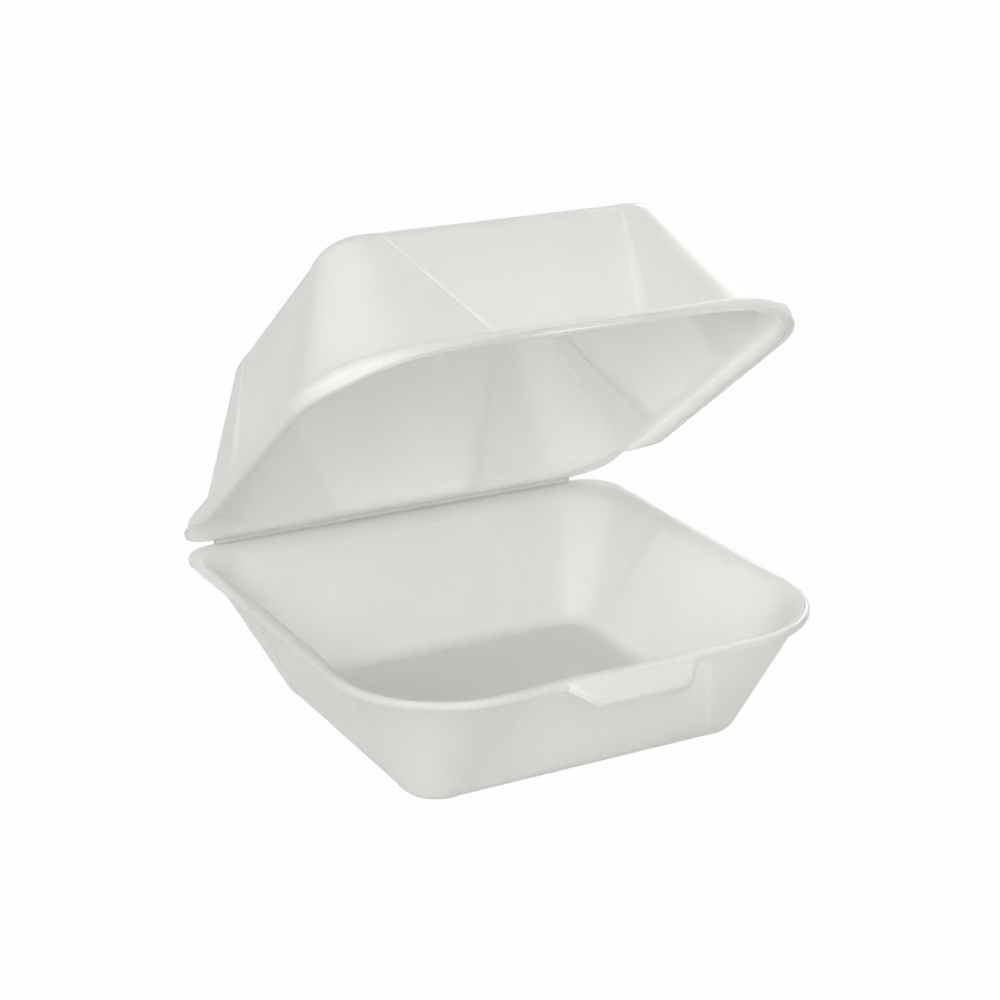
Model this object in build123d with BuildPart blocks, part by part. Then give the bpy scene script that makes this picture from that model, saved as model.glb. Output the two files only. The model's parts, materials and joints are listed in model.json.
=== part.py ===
"""Foam clamshell container: a tray and a domed lid pressed from one sheet, joined by a crease at the back."""
import os
from math import cos, radians, sin
from build123d import *

# Whole box, in mm: X runs along the hinge, the tab faces -Y, the tray stands on Z = 0
sheet = 2.2
tray_height = 35.8
lid_height = 41.2
rim_gap = 0.3
open_angle = 37.0
quarter_angle = 90.0

# Flat rims, which lie face to face when the box is shut
rim_width = 134.0
rim_front = 63.75
rim_corner = 31.7
rim_back_corner = 17.0
rim_back_ledge = 0.45
rim_back = rim_front + rim_back_ledge
rim_top_share = 0.5
rim_top_round = sheet * rim_top_share
rim_under_share = 0.27
rim_under_round = sheet * rim_under_share

# Thin strips behind the rims, with a round ear at each end, scored to a web along the hinge
hinge_run = 1.8
hinge_back = rim_back + hinge_run
hinge_height = tray_height + rim_gap / 2
ear_out = 0.6
ear_half = rim_width / 2 + ear_out
ear_corner = 11.1
ear_side = 44.0
ear_front = 26.0
ear_drop = 0.3
ear_thick = 1.2
hinge_half = ear_half - ear_corner
strip_end = hinge_back - rim_gap / 2
score_run = 1.1
web_thick = 0.5

# Walls of the tray at its floor and at its rim, each with a shallow panel set in along its middle
floor_width = 94.5
floor_depth = 84.0
floor_corner = 8.75
floor_panel_margin = 1.6
floor_panel_step = 0.2
tray_ledge = 1.5
tray_corner_ease = 3.0
tray_back_corner = 15.0
tray_front_margin = 14.8
tray_side_margin = 13.55
tray_panel_step = 1.1

# Lip of the lid, which hangs outside the tray's rim, arches low above the tab and fades out at the back
lip_clearance = 0.9
lip_thick = sheet
lip_width = rim_width + 2 * (lip_clearance + lip_thick)
lip_front = rim_front + lip_clearance + lip_thick
lip_corner_ease = 4.5
lip_corner = rim_corner - lip_corner_ease
lip_back = 48.0
lip_fade_start = 31.0
lip_end_round = 3.2
lip_drop = 3.9
lip_top_round = 2.8
lip_under_round = 0.6
lip_foot = rim_gap / 2 - lip_drop
arch_inset = 4.1
arch_half = lip_width / 2 - arch_inset
arch_rise = 4.25
overrun = 5.0

# Walls of the lid at its top panel and at its rim
top_width = 94.3
top_depth = 84.8
top_corner = 9.0
top_panel_margin = 3.35
top_panel_step = 0.25
lid_side_ledge = 0.3
lid_back_corner = 22.0
lid_front_margin = 24.3
lid_side_margin = 20.25
lid_panel_step = 1.9

# Slanted walls are thicker measured level than square to the sheet, and the panels' steps are softer inside
slant_share = 1.12
wall = sheet * slant_share
outside_shares = (1.0, 2.0)
inside_shares = (0.5, 6.0)

# Bends of the sheet at the floor, the top panel and the mouth
floor_bend = 2.6
floor_bend_inside = 2.4
top_bend = 3.6
top_bend_inside = 2.4
mouth_bend = 2.6
mouth_back_share = 0.55
under_bend = 0.7
bend_shares = (0, 0.25, 0.5, 0.75, 1)

# Opening tab on the front of the tray
tab_root_half = 18.3
tab_end_half = 12.4
tab_out = 7.15
tab_root = 1.3
tab_angle = 24.0
tab_corner = 3.4
tab_edge_round = 0.5

# Outlines of the walls: width, depth, front and back corner, ends of the front and side panels, set-in
floor_walls = (
    floor_width, floor_depth, floor_corner, floor_corner,
    floor_panel_margin, floor_panel_margin, floor_panel_step,
)
tray_walls = (
    rim_width - 2 * tray_ledge, 2 * (rim_front - tray_ledge), rim_corner - tray_corner_ease, tray_back_corner,
    tray_front_margin, tray_side_margin, tray_panel_step,
)
top_walls = (
    top_width, top_depth, top_corner, top_corner,
    top_panel_margin, top_panel_margin, top_panel_step,
)
lid_walls = (
    rim_width - 2 * lid_side_ledge, 2 * (rim_front - tray_ledge), lip_corner - lip_thick, lid_back_corner,
    lid_front_margin, lid_side_margin, lid_panel_step,
)

# The lid's rim plane, turned about the hinge from shut to propped open
lean = radians(open_angle)
lid_plane = Plane(
    origin=(0, hinge_back * (1 - cos(lean)), hinge_height + hinge_back * sin(lean)),
    x_dir=(1, 0, 0),
    z_dir=(0, sin(lean), cos(lean)),
)
lid_up = Axis(lid_plane.origin, lid_plane.z_dir)
lid_section = Plane(lid_plane.origin, x_dir=lid_plane.y_dir, z_dir=lid_plane.x_dir)


def step_line(start, end, along_x):
    """The soft S of a step between two levels of a wall that runs along X or along Y."""
    (x1, y1), (x2, y2) = start, end
    if along_x:
        bends = ((x1 + x2) / 2, y1), ((x1 + x2) / 2, y2)
    else:
        bends = (x1, (y1 + y2) / 2), (x2, (y1 + y2) / 2)
    return Bezier(start, *bends, end)


def wall_outline(width, depth, front_corner, back_corner, front_margin, side_margin, step, run):
    """Four round corners joined by straights, with a flat panel set in along the middle of each."""
    side, front = width / 2, depth / 2
    in_side, in_front = side - step, front - step
    front_x, front_y = side - front_corner, front - front_corner
    back_x, back_y = side - back_corner, front - back_corner
    panel_x, panel_y = front_x - front_margin, front_y - side_margin
    step_x, step_y = panel_x + run, panel_y + run
    with BuildLine() as outline:
        Line((-front_x, -front), (-step_x, -front))
        step_line((-step_x, -front), (-panel_x, -in_front), True)
        Line((-panel_x, -in_front), (panel_x, -in_front))
        step_line((panel_x, -in_front), (step_x, -front), True)
        Line((step_x, -front), (front_x, -front))
        CenterArc((front_x, -front_y), front_corner, -quarter_angle, quarter_angle)
        Line((side, -front_y), (side, -step_y))
        step_line((side, -step_y), (in_side, -panel_y), False)
        Line((in_side, -panel_y), (in_side, panel_y))
        step_line((in_side, panel_y), (side, step_y), False)
        Line((side, step_y), (side, back_y))
        CenterArc((back_x, back_y), back_corner, 0, quarter_angle)
        Line((back_x, front), (step_x, front))
        step_line((step_x, front), (panel_x, in_front), True)
        Line((panel_x, in_front), (-panel_x, in_front))
        step_line((-panel_x, in_front), (-step_x, front), True)
        Line((-step_x, front), (-back_x, front))
        CenterArc((-back_x, back_y), back_corner, quarter_angle, quarter_angle)
        Line((-side, back_y), (-side, step_y))
        step_line((-side, step_y), (-in_side, panel_y), False)
        Line((-in_side, panel_y), (-in_side, -panel_y))
        step_line((-in_side, -panel_y), (-side, -step_y), False)
        Line((-side, -step_y), (-side, -front_y))
        CenterArc((-front_x, -front_y), front_corner, 2 * quarter_angle, quarter_angle)
    return outline.edges()


def level(panel, foot, share, outset, step_shares, reach=0):
    """The walls' outline a share of the way from the flat panel to the rim, grown by an outset.

    The reach moves its back edge alone, towards the hinge.
    """
    width, depth, front_corner, back_corner, *margins, step = [
        a + (b - a) * share for a, b in zip(panel, foot)
    ]
    depth_share, run_share = step_shares
    outline = wall_outline(
        width + 2 * outset, depth + 2 * outset + reach, front_corner + outset, back_corner + outset,
        *margins, step * depth_share, step * run_share,
    )
    return [edge.moved(Location((0, reach / 2))) for edge in outline]


def wall_runs(start, end, panel_bend, foot_bend):
    """Distances from the panel, and outsets: the bend at the panel, the straight wall, the bend at the rim."""
    turns = [radians(quarter_angle * share) for share in bend_shares]
    panel_part = [(start + panel_bend * (1 - cos(t)), panel_bend * (sin(t) - 1)) for t in turns]
    foot_part = [(end - foot_bend * (1 - sin(t)), foot_bend * (1 - cos(t))) for t in turns]
    return panel_part, [panel_part[-1], foot_part[0]], foot_part


# Opening tab, which slopes out and down from the front of the tray's rim
tab_plane = Plane(
    origin=(0, tab_root - rim_front, tray_height),
    x_dir=(1, 0, 0),
    z_dir=(0, -sin(radians(tab_angle)), cos(radians(tab_angle))),
)
tab_up = Axis(tab_plane.origin, tab_plane.z_dir)
tab_end = tab_root + tab_out / cos(radians(tab_angle))
with BuildPart() as tab:
    with BuildSketch(tab_plane):
        with BuildLine():
            Polyline(
                (-tab_root_half, 0),
                (-tab_root_half, -tab_root),
                (-tab_end_half, -tab_end),
                (tab_end_half, -tab_end),
                (tab_root_half, -tab_root),
                (tab_root_half, 0),
                close=True,
            )
        make_face()
        fillet(vertices().group_by(Axis.Y)[0], radius=tab_corner)
    extrude(amount=-sheet)
    fillet(tab.edges().group_by(tab_up)[-1].sort_by(Axis.Y)[:-1], radius=tab_edge_round)

# The tray: floor, slanted walls with round corners, flat rim, ears, scored strip and tab
with BuildPart() as tray:
    # Flat rim, rounded on its outer edge
    with BuildSketch(Plane.XY.offset(tray_height - sheet)):
        with Locations((0, (rim_back - rim_front) / 2)):
            Rectangle(rim_width, rim_back + rim_front)
        fillet(vertices().group_by(Axis.Y)[0], radius=rim_corner)
        fillet(vertices().group_by(Axis.Y)[-1], radius=rim_back_corner)
    extrude(amount=sheet)
    fillet(tray.edges().group_by(Axis.Z)[-1], radius=rim_top_round)
    fillet(tray.edges().group_by(Axis.Z)[0], radius=rim_under_round)
    add(tab.part)
    # Thin strip behind the rim, with a round ear at each end that runs out along the rim's side
    with BuildSketch(Plane.XY.offset(tray_height - ear_drop - ear_thick)):
        with BuildLine():
            Polyline(
                (-rim_width / 2, ear_front),
                (rim_width / 2, ear_front),
                (ear_half, ear_side),
                (ear_half, strip_end),
                (-ear_half, strip_end),
                (-ear_half, ear_side),
                close=True,
            )
        make_face()
        fillet(vertices().group_by(Axis.Y)[-1], radius=ear_corner)
    extrude(amount=ear_thick)
    # Score pressed from below, which lifts the strip's edge to the hinge line as a thin web
    with BuildSketch(Plane.YZ):
        with BuildLine():
            Polyline(
                (strip_end - score_run, tray_height - ear_drop),
                (strip_end, tray_height),
                (strip_end, tray_height - ear_drop),
                close=True,
            )
        make_face()
    extrude(amount=hinge_half, both=True)
    with BuildSketch(Plane.YZ):
        with BuildLine():
            Polyline(
                (strip_end - score_run, tray_height - ear_drop - ear_thick),
                (strip_end, tray_height - web_thick),
                (strip_end + overrun, tray_height - web_thick),
                (strip_end + overrun, tray_height - ear_drop - ear_thick),
                close=True,
            )
        make_face()
    extrude(amount=hinge_half, both=True, mode=Mode.SUBTRACT)
    # Outside of the walls, from the floor up to the underside of the rim
    for run in wall_runs(0, tray_height - sheet, floor_bend, under_bend):
        for height, outset in run:
            with BuildSketch(Plane.XY.offset(height)):
                make_face(level(floor_walls, tray_walls, height / tray_height, outset, outside_shares))
        loft(ruled=len(run) == 2)
    # Inside of the walls, from the floor up to the mouth
    for run in wall_runs(sheet, tray_height, floor_bend_inside, mouth_bend):
        for height, outset in run:
            share, reach = height / tray_height, max(outset, 0) * mouth_back_share
            with BuildSketch(Plane.XY.offset(height)):
                make_face(level(floor_walls, tray_walls, share, outset - wall, inside_shares, reach))
        loft(ruled=len(run) == 2, mode=Mode.SUBTRACT)
tray.part.label = "tray"

# The lid: top panel, slanted walls, flat rim with a hanging lip, ears and scored strip
with BuildPart() as lid:
    # Lip round the front and the sides, rounded over its outer edge
    with BuildSketch(lid_plane.offset(lip_foot)):
        with Locations((0, (lip_back - lip_front) / 2)):
            Rectangle(lip_width, lip_back + lip_front)
        fillet(vertices().group_by(Axis.Y)[0], radius=lip_corner)
        fillet(vertices().group_by(Axis.Y)[-1], radius=lip_end_round)
    extrude(amount=lip_drop + sheet)
    fillet(lid.edges().group_by(lid_up)[-1], radius=lip_top_round)
    fillet(lid.edges().group_by(lid_up)[0], radius=lip_under_round)
    # Hollow under the lip that takes the tray's rim
    with BuildSketch(lid_plane.offset(lip_foot)):
        with Locations((0, (lip_back + overrun - lip_front + lip_thick) / 2)):
            Rectangle(lip_width - 2 * lip_thick, lip_back + overrun + lip_front - lip_thick)
        fillet(vertices().group_by(Axis.Y)[0], radius=lip_corner - lip_thick)
    extrude(amount=lip_drop, mode=Mode.SUBTRACT)
    # Low arch in the front of the lip, over the tab
    with BuildSketch(Plane(lid_plane.origin, x_dir=(1, 0, 0), z_dir=-lid_plane.y_dir)):
        with BuildLine():
            ThreePointArc((-arch_half, lip_foot), (0, lip_foot + arch_rise), (arch_half, lip_foot))
            Polyline(
                (arch_half, lip_foot),
                (arch_half, lip_foot - overrun),
                (-arch_half, lip_foot - overrun),
                (-arch_half, lip_foot),
            )
        make_face()
    extrude(amount=lip_front + overrun, mode=Mode.SUBTRACT)
    # Slanted ends, where the lip fades out towards the ears
    with BuildSketch(lid_section):
        with BuildLine():
            Polyline(
                (lip_fade_start, lip_foot),
                (lip_back, rim_gap / 2),
                (lip_back + overrun, rim_gap / 2),
                (lip_back + overrun, lip_foot),
                close=True,
            )
        make_face()
    extrude(amount=lip_width, both=True, mode=Mode.SUBTRACT)
    # Flat rim that lies on the tray's rim
    with BuildSketch(lid_plane.offset(rim_gap / 2)):
        with Locations((0, (rim_back - rim_front) / 2)):
            Rectangle(rim_width, rim_back + rim_front)
        fillet(vertices().group_by(Axis.Y)[0], radius=rim_corner)
        fillet(vertices().group_by(Axis.Y)[-1], radius=rim_back_corner)
    extrude(amount=sheet)
    # Thin strip behind the rim, with a round ear at each end
    with BuildSketch(lid_plane.offset(rim_gap / 2 + ear_drop)):
        with Locations((0, (lip_fade_start + strip_end) / 2)):
            Rectangle(2 * ear_half, strip_end - lip_fade_start)
        fillet(vertices().group_by(Axis.Y)[-1], radius=ear_corner)
    extrude(amount=ear_thick)
    # Score pressed from outside, which brings the strip's edge to the hinge line as a thin web
    with BuildSketch(lid_section):
        with BuildLine():
            Polyline(
                (strip_end - score_run, rim_gap / 2 + ear_drop),
                (strip_end, rim_gap / 2),
                (strip_end, rim_gap / 2 + ear_drop),
                close=True,
            )
        make_face()
    extrude(amount=hinge_half, both=True)
    with BuildSketch(lid_section):
        with BuildLine():
            Polyline(
                (strip_end - score_run, rim_gap / 2 + ear_drop + ear_thick),
                (strip_end, rim_gap / 2 + web_thick),
                (strip_end + overrun, rim_gap / 2 + web_thick),
                (strip_end + overrun, rim_gap / 2 + ear_drop + ear_thick),
                close=True,
            )
        make_face()
    extrude(amount=hinge_half, both=True, mode=Mode.SUBTRACT)
    # Outside of the walls, from the top panel down to the rim
    for run in wall_runs(0, lid_height - sheet, top_bend, under_bend):
        for height, outset in run:
            with BuildSketch(lid_plane.offset(lid_height - height)):
                make_face(level(top_walls, lid_walls, height / lid_height, outset, outside_shares))
        loft(ruled=len(run) == 2)
    # Inside of the walls, from the top panel down to the mouth
    for run in wall_runs(sheet, lid_height - rim_gap / 2, top_bend_inside, mouth_bend):
        for height, outset in run:
            share, reach = height / lid_height, max(outset, 0) * mouth_back_share
            with BuildSketch(lid_plane.offset(lid_height - height)):
                make_face(level(top_walls, lid_walls, share, outset - wall, inside_shares, reach))
        loft(ruled=len(run) == 2, mode=Mode.SUBTRACT)
lid.part.label = "lid"

os.makedirs("parts", exist_ok=True)
export_step(tray.part, "parts/tray.step")
export_step(lid.part, "parts/lid.step")
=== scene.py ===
import json
from math import cos, radians, sin

import bpy
from mathutils import Matrix, Vector


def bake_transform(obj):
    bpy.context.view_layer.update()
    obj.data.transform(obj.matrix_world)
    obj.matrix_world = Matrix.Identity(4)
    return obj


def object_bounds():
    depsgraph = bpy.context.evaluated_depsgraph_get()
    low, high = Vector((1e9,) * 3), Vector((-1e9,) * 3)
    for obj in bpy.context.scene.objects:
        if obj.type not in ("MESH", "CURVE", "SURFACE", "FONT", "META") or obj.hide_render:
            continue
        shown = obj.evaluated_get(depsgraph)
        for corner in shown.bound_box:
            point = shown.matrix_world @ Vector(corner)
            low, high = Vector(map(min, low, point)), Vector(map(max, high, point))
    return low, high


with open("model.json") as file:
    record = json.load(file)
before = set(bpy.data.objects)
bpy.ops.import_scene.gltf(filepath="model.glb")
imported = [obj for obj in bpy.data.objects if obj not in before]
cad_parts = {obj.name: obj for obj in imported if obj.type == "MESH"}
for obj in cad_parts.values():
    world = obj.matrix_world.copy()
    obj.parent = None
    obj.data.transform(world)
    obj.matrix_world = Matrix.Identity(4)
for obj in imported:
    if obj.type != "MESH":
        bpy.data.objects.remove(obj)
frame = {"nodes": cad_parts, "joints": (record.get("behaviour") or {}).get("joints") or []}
cad_low, cad_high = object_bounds()

# Foam sheet of the tray and the lid: expanded white polystyrene, extruded and pressed hot in a mould.
# The mould leaves a satin skin over closed cells about a millimetre wide, which dimple the surface,
# and light soaks right through the thin sheet, so shadows and edges stay soft and the inside glows.
MM = 0.001
foam_white = "#F4F3F1"
foam_grey = "#EEEDEB"
cell_width = 1.1 * MM
grain_width = 0.5 * MM
cloud_width = 22 * MM
dimple_depth = 0.028 * MM
grain_depth = 0.004 * MM
light_soak = 8 * MM


def linear(hex_colour):
    """An sRGB hex colour as linear red, green, blue and alpha."""
    shares = [int(hex_colour[i:i + 2], 16) / 255 for i in (1, 3, 5)]
    return [s / 12.92 if s <= 0.04045 else ((s + 0.055) / 1.055) ** 2.4 for s in shares] + [1.0]


def add_node(tree, kind, inputs=None, **settings):
    """Adds a node with its settings; each input takes a value, or a link from another node's output."""
    node = tree.nodes.new(kind)
    for name, value in settings.items():
        setattr(node, name, value)
    for name, value in (inputs or {}).items():
        if isinstance(value, bpy.types.NodeSocket):
            tree.links.new(value, node.inputs[name])
        else:
            node.inputs[name].default_value = value
    return node


foam = bpy.data.materials.new("pressed_polystyrene_foam")
foam.use_nodes = True
tree = foam.node_tree
tree.nodes.clear()
place = add_node(tree, "ShaderNodeTexCoord").outputs["Object"]
clouds = add_node(tree, "ShaderNodeTexNoise", {"Vector": place, "Scale": 1 / cloud_width})
cells = add_node(tree, "ShaderNodeTexVoronoi", {"Vector": place, "Scale": 1 / cell_width}, feature="F1")
grain = add_node(tree, "ShaderNodeTexNoise", {"Vector": place, "Scale": 1 / grain_width})
tone = add_node(
    tree, "ShaderNodeMix",
    {"Factor": clouds.outputs["Fac"], "A": linear(foam_white), "B": linear(foam_grey)},
    data_type="RGBA",
)
gloss = add_node(
    tree, "ShaderNodeMapRange",
    {"Value": grain.outputs["Fac"], "From Min": 0.35, "From Max": 0.65, "To Min": 0.3, "To Max": 0.37},
)
dimples = add_node(tree, "ShaderNodeBump", {"Height": cells.outputs["Distance"], "Distance": dimple_depth})
skin = add_node(
    tree, "ShaderNodeBump",
    {"Height": grain.outputs["Fac"], "Normal": dimples.outputs["Normal"], "Distance": grain_depth},
)
shader = add_node(
    tree, "ShaderNodeBsdfPrincipled",
    {
        "Base Color": tone.outputs["Result"],
        "Roughness": gloss.outputs["Result"],
        "Normal": skin.outputs["Normal"],
        "IOR": 1.45,
        "Subsurface Weight": 1.0,
        "Subsurface Radius": (1.0, 0.98, 0.94),
        "Subsurface Scale": light_soak,
    },
    subsurface_method="BURLEY",
)
add_node(tree, "ShaderNodeOutputMaterial", {"Surface": shader.outputs["BSDF"]})

for name in ("tray", "lid"):
    frame["nodes"][name].data.materials.clear()
    frame["nodes"][name].data.materials.append(foam)

# Hinge web: the same sheet, scored and pressed along the back to about half a millimetre of dense foam,
# which lets less light in. On the real box it is one piece with the tray and the lid; here it is a fixed
# strip shaped for the lid at rest, with a small round fold on its inner side.
joint = frame["joints"][0]
hinge = Vector(joint["pos_m"])
closed_turn = radians(joint["range_deg"][0])
web_half = 56.5 * MM
web_gap = 0.15 * MM
web_thick = 0.5 * MM
web_sink = 0.3 * MM
web_bulge = 0.38 * MM
web_steps = 10
web_sharp_angle = radians(50)
web_sink_shares = (0.2, 0.9)
fold_run = 1.3 * MM
fold_sink = 0.04 * MM
fold_round_share = 0.75


def lid_side(y, z):
    """A point beside the hinge, given with the lid shut, moved to where the lid stands at rest."""
    turned = Matrix.Rotation(closed_turn, 3, "X") @ Vector((0, y, z))
    return turned.y, turned.z


inner_start = (-fold_run, -web_gap - fold_sink)
inner_end = lid_side(-fold_run, web_gap + fold_sink)
outer_start = (-web_gap, -web_gap - web_thick)
outer_end = lid_side(-web_gap, web_gap + web_thick)
sunk_start = [(-web_gap - web_sink, -web_gap - web_thick * share) for share in web_sink_shares[::-1]]
sunk_end = [lid_side(-web_gap - web_sink, web_gap + web_thick * share) for share in web_sink_shares]
across = Vector(outer_end) - Vector(outer_start)
outward = Vector((across.y, -across.x)).normalized()
back_face = []
for step in range(web_steps + 1):
    share = step / web_steps
    bulge = web_bulge * (4 * share * (1 - share)) ** 0.5
    point = Vector(outer_start) + across * share + outward * bulge
    back_face.append((point.x, point.y))
fold_depth = fold_run * (cos(closed_turn / 2) + fold_round_share * sin(closed_turn / 2))
fold_middle = Matrix.Rotation(closed_turn / 2, 2) @ Vector((-fold_depth, 0))
inward = fold_middle - (Vector(inner_start) + Vector(inner_end)) / 2
fold_face = []
for step in range(web_steps + 1):
    share = step / web_steps
    point = Vector(inner_start).lerp(Vector(inner_end), share) + inward * (4 * share * (1 - share))
    fold_face.append((point.x, point.y))
section = sunk_start + fold_face + sunk_end + back_face[::-1]

bpy.ops.object.select_all(action="DESELECT")
bpy.ops.mesh.primitive_circle_add(vertices=len(section), fill_type="NGON")
web = bpy.context.object
web.name = "hinge_web"
for vertex, (y, z) in zip(web.data.vertices, section):
    vertex.co = (-web_half, hinge.y + y, hinge.z + z)
bpy.ops.object.mode_set(mode="EDIT")
bpy.ops.mesh.select_all(action="SELECT")
bpy.ops.mesh.extrude_region_move(TRANSFORM_OT_translate={"value": (2 * web_half, 0, 0)})
bpy.ops.mesh.select_all(action="SELECT")
bpy.ops.mesh.normals_make_consistent(inside=False)
bpy.ops.object.mode_set(mode="OBJECT")
bpy.ops.object.shade_smooth_by_angle(angle=web_sharp_angle)
dense = bpy.data.materials.new("dense_pressed_foam")
dense.use_nodes = True
tree = dense.node_tree
tree.nodes.clear()
shader = add_node(
    tree, "ShaderNodeBsdfPrincipled",
    {"Base Color": linear(foam_white), "Roughness": 0.4, "IOR": 1.45},
)
add_node(tree, "ShaderNodeOutputMaterial", {"Surface": shader.outputs["BSDF"]})
web.data.materials.append(dense)
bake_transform(web)

# Floor: a plain pale studio sheet that runs past the picture's edge and keeps a soft shadow.
# Seen straight on it glows nearly white, so that the white box stands on white.
floor_size = 12.0
floor_glow_share = 0.98
paper_grey = "#CCCCCA"


def seen_rays(tree):
    """A socket that is 1 for rays that show the background, straight, mirrored or through glass."""
    rays = add_node(tree, "ShaderNodeLightPath").outputs
    seen = rays["Is Camera Ray"]
    for kind in ("Is Glossy Ray", "Is Transmission Ray"):
        seen = add_node(tree, "ShaderNodeMath", {0: seen, 1: rays[kind]}, operation="MAXIMUM").outputs[0]
    return seen


bpy.ops.object.select_all(action="DESELECT")
bpy.ops.mesh.primitive_plane_add(size=floor_size, location=(0, 0, cad_low.z))
floor = bpy.context.object
floor.name = "studio_floor"
paper = bpy.data.materials.new("studio_paper")
paper.use_nodes = True
tree = paper.node_tree
tree.nodes.clear()
matt = add_node(tree, "ShaderNodeBsdfDiffuse", {"Color": linear(paper_grey)})
glow = add_node(tree, "ShaderNodeEmission", {"Color": linear("#FFFFFF"), "Strength": 1.0})
share = add_node(tree, "ShaderNodeMath", {0: seen_rays(tree), 1: floor_glow_share}, operation="MULTIPLY")
both = add_node(
    tree, "ShaderNodeMixShader", {0: share.outputs[0], 1: matt.outputs["BSDF"], 2: glow.outputs["Emission"]},
)
add_node(tree, "ShaderNodeOutputMaterial", {"Surface": both.outputs["Shader"]})
floor.data.materials.append(paper)

# Studio light: a dim pale room, large soft boxes at the upper left, at the left and low in front,
# and one behind at the right that shines through the walls. Each has a place, a width and a power in watts.
room_level = 0.13
world = bpy.data.worlds.new("pale_room")
bpy.context.scene.world = world
world.use_nodes = True
tree = world.node_tree
tree.nodes.clear()
room = add_node(tree, "ShaderNodeBackground", {"Color": linear("#FFFFFF"), "Strength": room_level})
white = add_node(tree, "ShaderNodeBackground", {"Color": linear("#FFFFFF"), "Strength": 1.0})
both = add_node(
    tree, "ShaderNodeMixShader",
    {0: seen_rays(tree), 1: room.outputs["Background"], 2: white.outputs["Background"]},
)
add_node(tree, "ShaderNodeOutputWorld", {"Surface": both.outputs["Shader"]})

lamp_aim = Vector((0, 10, 55)) * MM
soft_boxes = (
    ("key_box", Vector((-0.75, -0.75, 0.95)), 0.9, 5.5),
    ("left_box", Vector((-1.15, -0.15, 0.45)), 0.8, 2.6),
    ("front_box", Vector((-0.35, -1.15, 0.45)), 0.8, 5.3),
    ("back_box", Vector((0.95, 0.65, 0.5)), 0.8, 5.2),
)
for name, spot, size, watts in soft_boxes:
    lamp = bpy.data.lights.new(name, "AREA")
    lamp.shape = "DISK"
    lamp.size = size
    lamp.energy = watts
    lamp_object = bpy.data.objects.new(name, lamp)
    lamp_object.location = spot
    lamp_object.rotation_euler = (lamp_aim - spot).to_track_quat("-Z", "Y").to_euler()
    bpy.context.scene.collection.objects.link(lamp_object)

# Camera: a little to the left of the tab and above the rim, on a long lens.
# Turn is from straight in front, and rise from level.
lens_length = 82.8
sensor_width = 36.0
view_turn = radians(-28.55)
view_rise = radians(19.34)
view_distance = 598.3 * MM
view_target = Vector((-2.388, 0, 59.57)) * MM
view_back = Vector((sin(view_turn) * cos(view_rise), -cos(view_turn) * cos(view_rise), sin(view_rise)))
lens = bpy.data.cameras.new("photo_lens")
lens.lens = lens_length
lens.sensor_width = sensor_width
camera = bpy.data.objects.new("photo_camera", lens)
camera.location = view_target + view_back * view_distance
camera.rotation_euler = view_back.to_track_quat("Z", "Y").to_euler()
bpy.context.scene.collection.objects.link(camera)
bpy.context.scene.camera = camera
bpy.context.scene.view_settings.view_transform = "Standard"
